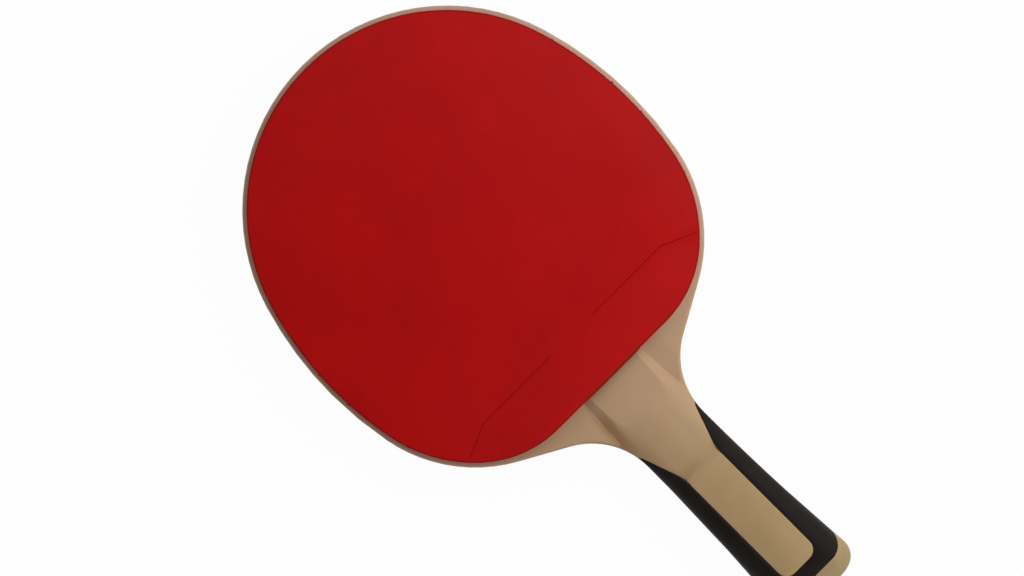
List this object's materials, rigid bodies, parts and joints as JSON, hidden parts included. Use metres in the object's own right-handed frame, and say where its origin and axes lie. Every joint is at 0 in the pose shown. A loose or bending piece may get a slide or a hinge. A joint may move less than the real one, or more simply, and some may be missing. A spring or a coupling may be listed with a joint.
{
  "type": "table tennis racket",
  "caption": "Table tennis racket with a rounded head, a smooth rubber on each face, a sculpted throat and a flared handle with a soft inlaid grip.",
  "frame": {"origin": "middle of the racket's bounding box, on the plane of symmetry of its width and thickness", "axes": "+Y runs from the butt of the handle to the crown of the head, +Z is the outward normal of the front (red) face, +X is to the right when the front face is looked at with the head up"},
  "size_m": [0.15, 0.2618, 0.023],
  "materials": {
    "body": "fine moulded matte, warm beige",
    "grip_sleeve": "soft matte black overmould",
    "butt_plug": "fine moulded matte, warm beige",
    "glue_film": "dried contact adhesive, satin",
    "sponge": "open matte foam, orange",
    "front_rubber": "smooth satin red",
    "back_rubber": "smooth satin black"
  },
  "bodies": {
    "root": {"body": "body", "grip_sleeve": "grip_sleeve", "butt_plug": "butt_plug", "front_glue_film": "glue_film", "front_sponge": "sponge", "front_rubber": "front_rubber", "back_glue_film": "glue_film", "back_sponge": "sponge", "back_rubber": "back_rubber"}
  },
  "joints": []
}
